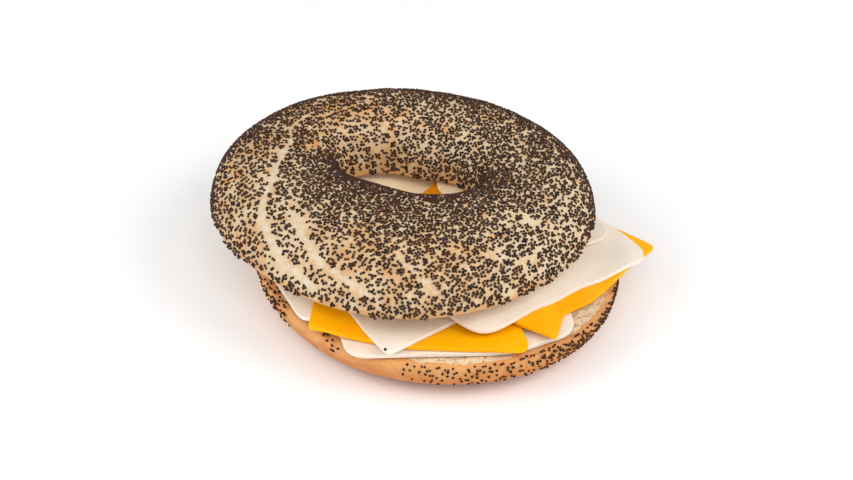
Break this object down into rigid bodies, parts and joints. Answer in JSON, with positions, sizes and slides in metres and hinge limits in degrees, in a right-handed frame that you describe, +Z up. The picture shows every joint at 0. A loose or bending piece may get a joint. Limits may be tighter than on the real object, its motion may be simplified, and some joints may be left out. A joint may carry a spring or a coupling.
{
  "type": "filled bagel",
  "caption": "Poppy-seed bagel cut across into two halves and filled with thin overlapping slices of white and yellow cheese.",
  "frame": {"origin": "middle of the bottom of the box round the whole bagel, on the surface that it lies on", "axes": "+Z is up. +X is along the longest side, towards the corner of the slices that hangs out furthest. -Y is the side that shows most cheese."},
  "size_m": [0.1398, 0.1276, 0.045],
  "materials": {
    "crust": "baked, satin",
    "white_cheese": "satin",
    "yellow_cheese": "satin",
    "poppy_seed": "matt",
    "crumb": "matt"
  },
  "bodies": {
    "root": {"bagel_bottom": "crust", "white_slice_1": "white_cheese", "white_slice_2": "white_cheese", "white_slice_3": "white_cheese", "white_slice_4": "white_cheese", "white_slice_5": "white_cheese", "yellow_slice_1": "yellow_cheese", "yellow_slice_2": "yellow_cheese", "bagel_top": "crust"}
  },
  "joints": []
}
